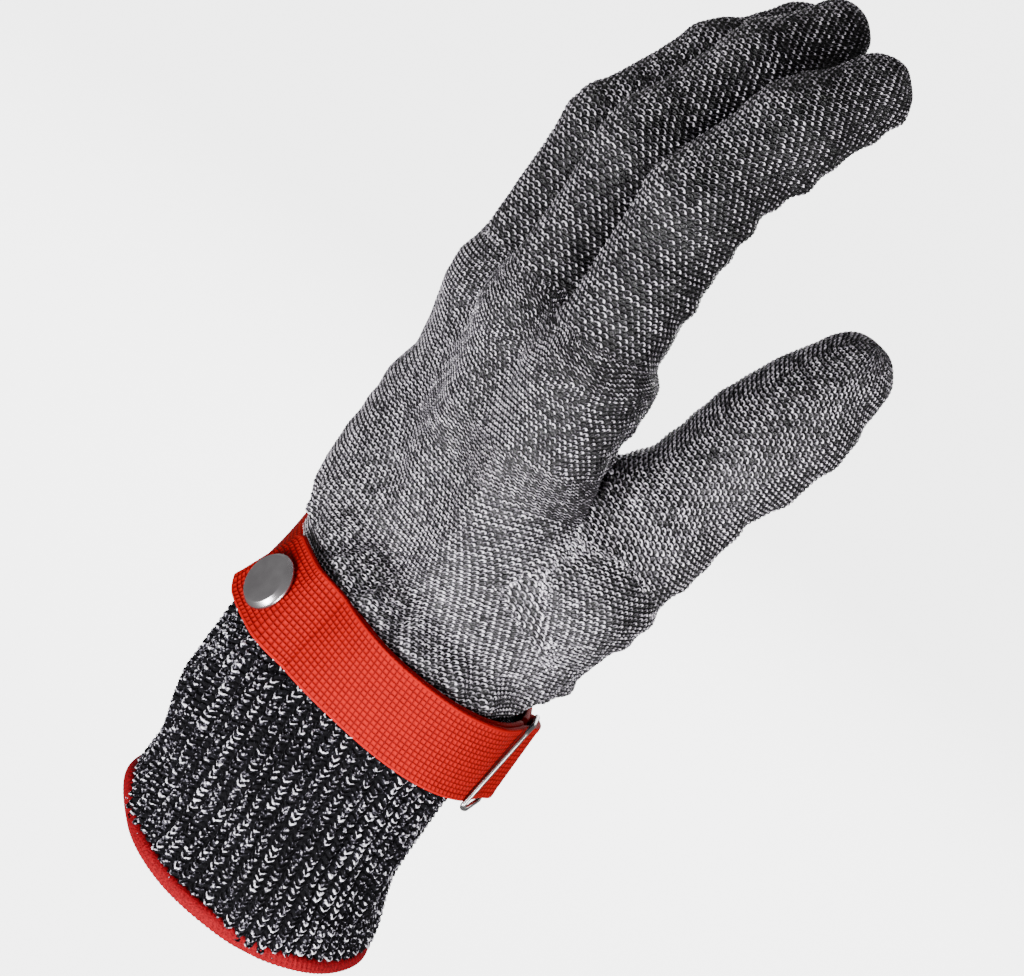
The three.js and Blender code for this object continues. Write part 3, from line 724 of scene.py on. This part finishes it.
def add_strap():
    middle = WEB_THICK / 2
    around = np.linspace(RING_ANGLE + 3, RING_ANGLE + 357, 400)
    around = np.where(around > 180, around - 360, around)
    hoop = leaning(around, np.full(400, BAND_LIFT + middle))
    under = webbing("strap_under_band", hoop)

    per = mm_per_degree(RING_ANGLE)
    near = lambda x, lift: leaning(RING_ANGLE + np.atleast_1d(x) / per, np.atleast_1d(lift))
    inner = WIRE_RADIUS + GAP
    turn = np.radians(np.linspace(-60, 90, 26))
    radius = inner + middle
    lobe = near(RING_HALF_SPAN + (radius + 0.9) * np.cos(turn), BAR_UNDER_LIFT + radius * np.sin(turn))
    back = np.linspace(RING_HALF_SPAN - 0.3, -6, 30)
    rise = smoothstep(back, -3.2, 3.4)
    lift = FLAP_LIFT + (BAR_UNDER_LIFT + inner - FLAP_LIFT) * rise + middle
    bridge = near(back, lift)
    past_bar = RING_ANGLE - 6.2 / per
    top_angles = np.linspace(past_bar, FLAP_ANGLE - 0.4, 140)
    from_bar = (past_bar - top_angles) * per
    slack = 0.3 * smoothstep(from_bar, 1.0, 6.0) * (1 - smoothstep(from_bar, 22, from_bar.max() - 4))
    top = leaning(top_angles, FLAP_LIFT + middle + slack)
    over = webbing("strap_over_layer", np.concatenate([lobe, bridge, top]))

    flap_angles = np.linspace(FLAP_ANGLE + 0.4, TAB_ANGLE - 0.1, 80)
    flap = webbing("strap_flap_web", leaning(flap_angles, np.full(80, FLAP_LIFT + middle)))
    tab_angles = np.linspace(TAB_ANGLE + 0.2, TAB_END_ANGLE, 100)
    tab_lift = TAB_LIFT + (FLAP_LIFT - TAB_LIFT) * smoothstep(tab_angles, SNAP_ANGLE + 9, TAB_ANGLE) + middle
    tab = webbing("strap_tab_web", leaning(tab_angles, tab_lift), round_end=True)
    for piece in (under, over):
        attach(piece, "glove")
        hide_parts("strap_band")
    for piece, a, b, angle in ((flap, "glove", "flap", FLAP_ANGLE), (tab, "flap", "end_tab", TAB_ANGLE)):
        s, e = wrist_point(np.array([angle + 0.5, angle - 7.0]), np.array([FLAP_LIFT + 1.3] * 2))
        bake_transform(piece)
    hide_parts("strap_flap")
    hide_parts("strap_end_tab")
    return [under, over, flap, tab]


def as_mesh(curve_object):
    """The same tube as a mesh, with smooth faces."""
    name = curve_object.name
    depsgraph = bpy.context.evaluated_depsgraph_get()
    mesh = bpy.data.meshes.new_from_object(curve_object.evaluated_get(depsgraph))
    curve = curve_object.data
    bpy.data.objects.remove(curve_object)
    bpy.data.curves.remove(curve)
    mesh.shade_smooth()
    piece = bpy.data.objects.new(name, mesh)
    bpy.context.scene.collection.objects.link(piece)
    return piece


def add_bartack(name, node, angle):
    """Zigzag stitching across the webbing."""
    count = 34
    z = STRAP_Z + np.linspace(-9.2, 9.2, count)
    swing = np.where(np.arange(count) % 2, 1.1, -1.1)
    spots = wrist_point(angle + swing / mm_per_degree(angle), np.full(count, BAND_OUTER + 0.3))
    curve = bpy.data.curves.new(name, "CURVE")
    curve.dimensions, curve.bevel_depth, curve.bevel_resolution = "3D", 0.24 * MM, 2
    spline = curve.splines.new("POLY")
    spline.points.add(count - 1)
    for i, (x, y) in enumerate(spots):
        spline.points[i].co = (x * MM, y * MM, (z[i] - STRAP_SLOPE * y) * MM, 1)
    piece = bpy.data.objects.new(name, curve)
    bpy.context.scene.collection.objects.link(piece)
    piece = as_mesh(piece)
    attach(piece, "glove")
    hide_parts(node)
    return piece


# ---- the ring and the snap ----
def add_ring():
    per = mm_per_degree(RING_ANGLE)
    over = wrist_point(np.array([RING_ANGLE - RING_HALF_SPAN / per]), np.array([BAR_OVER_LIFT]))[0]
    under = wrist_point(np.array([RING_ANGLE + RING_HALF_SPAN / per]), np.array([BAR_UNDER_LIFT]))[0]
    half, corner = WEB_WIDTH / 2 + GAP + 0.5 + WIRE_RADIUS, 2.0
    span = np.linalg.norm(over - under)
    side = span / 2
    path = []
    for cx, cz, first in ((1, 1, 0), (-1, 1, 90), (-1, -1, 180), (1, -1, 270)):
        for degrees in np.linspace(first, first + 90, 9):
            t = math.radians(degrees)
            a = cx * (side - corner) + corner * math.cos(t)
            path.append((a, cz * (half - corner) + corner * math.sin(t)))
    curve = bpy.data.curves.new("ring_wire_bent", "CURVE")
    curve.dimensions, curve.bevel_depth, curve.bevel_resolution = "3D", SEEN_WIRE_RADIUS * MM, 6
    spline = curve.splines.new("POLY")
    spline.points.add(len(path) - 1)
    for i, (a, z) in enumerate(path):
        outer = (side - a) / span
        lift = BAR_UNDER_LIFT + (BAR_OVER_LIFT - BAR_UNDER_LIFT) * outer
        back = RING_TRAIL * (half - z) * outer
        x, y = wrist_point(np.array([RING_ANGLE + (a - back) / per]), np.array([lift]))[0]
        spline.points[i].co = (x * MM, y * MM, (STRAP_Z + z - STRAP_SLOPE * y) * MM, 1)
    spline.use_cyclic_u = True
    ring = bpy.data.objects.new("ring_wire_bent", curve)
    bpy.context.scene.collection.objects.link(ring)
    ring = as_mesh(ring)
    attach(ring, "ring_wire")
    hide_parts("wire_ring")
    return ring


def add_cap():
    """The snap's cap, turned from its section with small rounded edges."""
    r = CAP_RADIUS
    profile = [(0, 10.12), (2.5, 10.16), (5.4, 10.17), (r - 1.25, 10.12), (r - 1.0, 10.0), (r - 0.8, 9.75),
               (r - 0.35, 9.2), (r - 0.08, 8.8), (r, 8.5), (r, 8.25), (r - 0.12, 7.95), (r - 0.5, 7.7),
               (4.6, 7.68), (1.5, 7.68)]
    dense = [profile[0]]
    for (r0, h0), (r1, h1) in zip(profile, profile[1:]):
        dense += [(r0 + (r1 - r0) * f, h0 + (h1 - h0) * f) for f in (0.5, 1.0)]
    centre = wrist_point(np.array([SNAP_ANGLE]), np.array([0.0]))[0]
    outer = wrist_point(np.array([SNAP_ANGLE]), np.array([1.0]))[0] - centre
    level = np.array([outer[0], outer[1], 0])
    upright = np.array([0, 0, 1.0])
    x = np.cross(upright, level)
    z = level + upright * CAP_LEAN
    z /= np.linalg.norm(z)
    y = np.cross(z, x)
    angle = np.linspace(0, 2 * math.pi, 97)[:-1]
    pivot = TAB_LIFT + WEB_THICK / 2
    base = np.array([centre[0], centre[1], STRAP_Z - STRAP_SLOPE * centre[1]]) + level * pivot - z * pivot
    grid = np.stack([
        base + z * h + (x[None] * np.cos(angle)[:, None] + y[None] * np.sin(angle)[:, None]) * radius
        for radius, h in dense])
    cap = grid_mesh("snap_cap_turned", grid, closed=True)
    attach(cap, "end_tab")
    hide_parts("snap_cap")
    return cap


# ---- materials ----
class Nodes:
    def __init__(self, name):
        self.material = bpy.data.materials.new(name)
        self.material.use_nodes = True
        self.tree = self.material.node_tree
        self.shader = self.tree.nodes["Principled BSDF"]

    def add(self, kind, **settings):
        n = self.tree.nodes.new(kind)
        for k, v in settings.items():
            setattr(n, k, v)
        return n

    def join(self, a, b):
        self.tree.links.new(a, b)

    def math(self, op, *inputs):
        n = self.add("ShaderNodeMath", operation=op)
        for i, value in enumerate(inputs):
            if isinstance(value, (int, float)):
                n.inputs[i].default_value = value
            else:
                self.join(value, n.inputs[i])
        return n.outputs[0]

    def ramp(self, value, stops):
        n = self.add("ShaderNodeValToRGB")
        self.join(value, n.inputs[0])
        while len(n.color_ramp.elements) < len(stops):
            n.color_ramp.elements.new(0.5)
        for e, (at, colour) in zip(n.color_ramp.elements, stops):
            e.position, e.color = at, (*colour, 1)
        return n.outputs[0]

    def stitch(self):
        n = self.add("ShaderNodeAttribute", attribute_name="stitch")
        s = self.add("ShaderNodeSeparateXYZ")
        self.join(n.outputs["Vector"], s.inputs[0])
        return s.outputs

    def noise(self, scale, detail=2.0):
        c = self.add("ShaderNodeTexCoord")
        n = self.add("ShaderNodeTexNoise")
        n.inputs["Scale"].default_value, n.inputs["Detail"].default_value = scale, detail
        self.join(c.outputs["Object"], n.inputs["Vector"])
        return n.outputs["Fac"]

    def cell(self, u, v):
        """A number from 0 to 1 that is the same over one stitch."""
        c = self.add("ShaderNodeCombineXYZ")
        self.join(self.math("FLOOR", u), c.inputs[0])
        self.join(self.math("FLOOR", v), c.inputs[1])
        n = self.add("ShaderNodeTexWhiteNoise", noise_dimensions="3D")
        self.join(c.outputs[0], n.inputs["Vector"])
        return n.outputs["Value"]

    def smooth(self, value, low, high):
        n = self.add("ShaderNodeMapRange", interpolation_type="SMOOTHSTEP")
        self.join(value, n.inputs["Value"])
        n.inputs["From Min"].default_value, n.inputs["From Max"].default_value = low, high
        return n.outputs[0]

    def bump(self, height, distance, strength=1.0):
        n = self.add("ShaderNodeBump")
        n.inputs["Distance"].default_value, n.inputs["Strength"].default_value = distance, strength
        self.join(height, n.inputs["Height"])
        self.join(n.outputs[0], self.shader.inputs["Normal"])

    def set(self, **values):
        for k, v in values.items():
            self.shader.inputs[k.replace("_", " ")].default_value = v


def loop_nodes(m):
    """The height of the arched loops, a number for each loop, and how far it lies to one side of its loop."""
    u, v, _ = m.stitch()
    row = m.math("FLOOR", v)
    x = m.math("ADD", u, m.math("MULTIPLY", m.math("FLOORED_MODULO", row, 2.0), 0.5))
    fx = m.math("SUBTRACT", m.math("FRACT", x), 0.5)
    y = m.math("SUBTRACT", m.math("FRACT", v), 0.3)
    wobble = m.math("MULTIPLY", m.math("SUBTRACT", m.noise(700), 0.5), 0.3)
    ring = m.math("SQRT", m.math("ADD", m.math("MULTIPLY", fx, fx), m.math("MULTIPLY", y, y)))
    off = m.math("DIVIDE", m.math("ADD", m.math("ABSOLUTE", m.math("SUBTRACT", ring, 0.36)), wobble), 0.21)
    arch = m.math("MAXIMUM", m.math("SUBTRACT", 1.0, m.math("MULTIPLY", off, off)), 0.0)
    return m.math("MULTIPLY", arch, m.smooth(y, -0.4, 0.0)), m.cell(x, v), fx


def chain_nodes(m):
    """The height of the rib's chains, a number for each loop, and how far down in the furrow a point is."""
    u, v, _ = m.stitch()
    u = m.math("ADD", u, m.math("MULTIPLY", m.math("SUBTRACT", m.noise(420), 0.5), 0.45))
    v = m.math("ADD", v, m.math("MULTIPLY", m.math("SUBTRACT", m.noise(330), 0.5), 0.9))
    side = m.math("MULTIPLY", m.math("ABSOLUTE", m.math("SUBTRACT", m.math("FRACT", u), 0.5)), 2.0)
    along = m.math("SUBTRACT", v, m.math("MULTIPLY", side, 0.7))
    wave = m.math("MULTIPLY_ADD", m.math("COSINE", m.math("MULTIPLY", along, 2 * math.pi)), 0.5, 0.5)
    ridge = m.math("SUBTRACT", 1.0, m.math("POWER", side, 4.0))
    return m.math("MULTIPLY", wave, ridge), m.cell(u, m.math("ADD", along, 0.5)), side


def steel_knit():
    m = Nodes("steel_knit")
    arch, one, fx = loop_nodes(m)
    fleck = m.math("SUBTRACT", m.noise(1700, 3.0), 0.5)
    patch = m.math("SUBTRACT", m.noise(90, 3.0), 0.5)
    # Painted light: each loop is painted lighter on one side, as if lit from that side.
    painted_lit_side = m.math("MULTIPLY_ADD", fx, 0.9, 0.85)
    tone = m.math("MULTIPLY", arch, m.math("MULTIPLY", m.math("MULTIPLY_ADD", one, 0.95, 0.45), painted_lit_side))
    tone = m.math("ADD", tone, m.math("MULTIPLY", fleck, 1.35))
    tone = m.math("ADD", tone, m.math("MULTIPLY", patch, 0.3))
    # The third stitch value is painted shade, darkening the knit where less light falls.
    tone = m.math("SUBTRACT", tone, m.math("MULTIPLY", m.stitch()[2], 0.27))
    # The ramp gives the yarn its grey, paints the loops' crests near white as painted highlights on the steel
    # yarn, and paints the gaps between loops near black as painted shade.
    colour = m.ramp(tone, [
        (0.06, (0.004, 0.0036, 0.0044)), (0.30, (0.055, 0.050, 0.058)),
        (0.58, (0.35, 0.32, 0.37)), (0.95, (0.97, 0.91, 0.99))])
    m.join(colour, m.shader.inputs["Base Color"])
    m.join(m.math("MULTIPLY_ADD", one, 0.22, 0.32), m.shader.inputs["Roughness"])
    m.join(m.math("MULTIPLY", m.math("GREATER_THAN", one, 0.4), 0.55), m.shader.inputs["Metallic"])
    m.bump(m.math("ADD", arch, m.math("MULTIPLY", fleck, 0.5)), 0.0007)
    return m.material


def rib_knit():
    m = Nodes("rib_knit")
    chain, one, side = chain_nodes(m)
    fleck = m.math("SUBTRACT", m.noise(1250, 3.0), 0.5)
    patch = m.math("SUBTRACT", m.noise(75, 3.0), 0.5)
    u, _, _ = m.stitch()
    rib = m.cell(u, 0.0)
    white = m.math("MULTIPLY", m.math("POWER", chain, 2.6), m.math("MULTIPLY_ADD", one, 0.9, 0.1))
    white = m.math("MULTIPLY", white, m.math("MULTIPLY_ADD", rib, 0.8, 0.7))
    tone = m.math("ADD", white, m.math("MULTIPLY_ADD", fleck, 3.4, 0.03))
    tone = m.math("ADD", tone, m.math("MULTIPLY", patch, 0.9))
    # Painted shade: the knit is painted darker down in the furrows between the ribs.
    tone = m.math("SUBTRACT", tone, m.math("MULTIPLY", m.smooth(side, 0.45, 0.9), 0.36))
    colour = m.ramp(tone, [
        (0.16, (0.0022, 0.0020, 0.0030)), (0.40, (0.020, 0.019, 0.026)),
        (0.60, (0.20, 0.185, 0.225)), (0.95, (0.92, 0.89, 0.97))])
    m.join(colour, m.shader.inputs["Base Color"])
    m.set(Roughness=0.85, Specular_IOR_Level=0.1)
    m.bump(m.math("ADD", chain, m.math("MULTIPLY", fleck, 0.8)), 0.0009)
    return m.material


def red_webbing():
    m = Nodes("webbing")
    u, v, side = m.stitch()
    a = m.math("ABSOLUTE", m.math("SINE", m.math("MULTIPLY", u, math.pi)))
    b = m.math("ABSOLUTE", m.math("SINE", m.math("MULTIPLY", v, math.pi)))
    cell = m.math("MULTIPLY", m.math("POWER", a, 0.7), m.math("POWER", b, 0.7))
    weave = m.math("MAXIMUM", cell, m.math("MULTIPLY", m.math("GREATER_THAN", side, 0.93), 0.8))
    one = m.cell(u, v)
    tone = m.math("ADD", weave, m.math("MULTIPLY", m.math("SUBTRACT", one, 0.5), 0.14))
    colour = m.ramp(tone, [(0.12, (0.13, 0.0006, 0.0004)), (0.5, (0.28, 0.0014, 0.0009)),
                           (0.95, (0.33, 0.0018, 0.0012))])
    m.join(colour, m.shader.inputs["Base Color"])
    m.set(Roughness=0.7, Specular_IOR_Level=0.08)
    m.bump(m.math("ADD", weave, m.math("MULTIPLY", m.noise(2600), 0.2)), 0.00035)
    return m.material


def red_thread(name, deep, bright):
    m = Nodes(name)
    grain = m.noise(2200, 4.0)
    m.join(m.ramp(grain, [(0.3, deep), (0.72, bright)]), m.shader.inputs["Base Color"])
    m.set(Roughness=0.7, Specular_IOR_Level=0.1)
    m.bump(grain, 0.0003)
    return m.material


def steel(name, dark, light, low, high, scale):
    m = Nodes(name)
    blur = m.noise(scale, 3.0)
    m.join(m.ramp(blur, [(0.3, dark), (0.7, light)]), m.shader.inputs["Base Color"])
    m.join(m.math("MULTIPLY_ADD", blur, high - low, low), m.shader.inputs["Roughness"])
    m.set(Metallic=1.0)
    m.bump(m.noise(scale * 12), 0.00002, 0.4)
    return m.material


def dress(pieces, material):
    for piece in pieces:
        piece.data.materials.clear()
        piece.data.materials.append(material)


palm_pieces = add_palm()
finger_pieces = [piece for name in FINGER_NAMES for piece in add_finger(name)]
thumb_pieces = add_thumb()
dress(palm_pieces + finger_pieces + thumb_pieces, steel_knit())
dress([add_cuff()], rib_knit())
dress([add_hem()], red_thread("hem_thread", (0.09, 0.0004, 0.0018), (0.26, 0.0013, 0.006)))
dress(add_strap(), red_webbing())
tacks = [
    add_bartack("ring_side_stitches", "band_bartack", RING_ANGLE + 24),
    add_bartack("glove_side_stitches", "glove_bartack", 180),
]
dress(tacks, red_thread("stitch_thread", (0.28, 0.002, 0.003), (0.50, 0.006, 0.008)))
dress([add_ring()], steel("ring_wire", (0.20, 0.20, 0.20), (0.42, 0.41, 0.41), 0.18, 0.3, 260))
snap_steel = steel("snap_steel", (0.36, 0.34, 0.35), (0.46, 0.44, 0.45), 0.22, 0.30, 180)
dress([add_cap()], snap_steel)
dress([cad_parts[n] for n in ("snap_stud", "snap_socket", "socket_spring", "stud_post")], snap_steel)

# ---- floor, light and camera ----
# The floor is a wide round sweep that turns up far off. It takes no part in lighting the glove.
SWEEP = ((0.01, -0.25), (5.5, -0.25), (6.6, -0.12), (7.4, 0.35), (7.8, 1.1), (8.0, 2.2))
SIDES = 96
turns = [2 * math.pi * i / SIDES for i in range(SIDES)]
floor_points = [(r * math.cos(t), r * math.sin(t), h) for r, h in SWEEP for t in turns]
floor_faces = [tuple(range(SIDES))]
for j in range(len(SWEEP) - 1):
    for i in range(SIDES):
        here, after = j * SIDES + i, j * SIDES + (i + 1) % SIDES
        floor_faces.append((here, after, after + SIDES, here + SIDES))
floor_mesh = bpy.data.meshes.new("floor")
floor_mesh.from_pydata(floor_points, [], floor_faces)
floor_mesh.shade_smooth()
floor = bpy.data.objects.new("floor", floor_mesh)
bpy.context.scene.collection.objects.link(floor)
floor.visible_diffuse = floor.visible_glossy = floor.visible_shadow = False
paper = Nodes("pale_floor")
paper.join(paper.ramp(paper.noise(0.7), [(0.2, (0.90, 0.90, 0.90)), (0.8, (0.93, 0.93, 0.93))]),
           paper.shader.inputs["Base Color"])
paper.set(Roughness=0.9, Emission_Strength=4.0)
paper.shader.inputs["Emission Color"].default_value = (1, 1, 1, 1)
dress([floor], paper.material)

world = bpy.data.worlds.new("studio")
bpy.context.scene.world = world
world.use_nodes = True
world.node_tree.nodes["Background"].inputs["Color"].default_value = (1, 1, 1, 1)
world.node_tree.nodes["Background"].inputs["Strength"].default_value = 0.36

AZIMUTH, ELEVATION, ROLL, DISTANCE = math.radians(50), math.radians(22.3), math.radians(34.9), 1.0
TARGET = Vector((0, 0, 0.15))
AIM_X, AIM_Y = 0.0122, 0.0205
right = Vector((math.cos(AZIMUTH), math.sin(AZIMUTH), 0))
back = Vector((
    math.sin(AZIMUTH) * math.cos(ELEVATION),
    -math.cos(AZIMUTH) * math.cos(ELEVATION),
    math.sin(ELEVATION),
))
up = back.cross(right)
cam_x = right * math.cos(ROLL) + up * math.sin(ROLL)
cam_y = -right * math.sin(ROLL) + up * math.cos(ROLL)


def add_area(name, way, distance, size, power):
    light = bpy.data.lights.new(name, "AREA")
    light.size, light.energy = size, power
    lamp = bpy.data.objects.new(name, light)
    bpy.context.scene.collection.objects.link(lamp)
    way = way.normalized()
    lamp.location = TARGET + Vector((0, 0, -0.05)) + way * distance
    lamp.rotation_euler = way.to_track_quat("Z", "Y").to_euler()


add_area("key", -cam_x * 0.85 - cam_y * 0.45 + back * 0.75, 0.6, 0.28, 11.5)
add_area("fill", cam_x * 0.35 - cam_y * 1.0 + back * 0.7, 0.8, 0.4, 12)
add_area("far_side", Vector((-0.66, 0.66, 0.22)), 0.95, 0.6, 8)

camera = bpy.data.cameras.new("camera")
camera.lens, camera.sensor_width = 149.0, 36.0
camera.clip_start, camera.clip_end = 0.05, 50
view = bpy.data.objects.new("camera", camera)
bpy.context.scene.collection.objects.link(view)
stand_at = TARGET + back * DISTANCE - cam_x * AIM_X - cam_y * AIM_Y
axes = Matrix((cam_x, cam_y, back)).transposed()
view.matrix_world = Matrix.Translation(stand_at) @ axes.to_4x4()
bpy.context.scene.camera = view
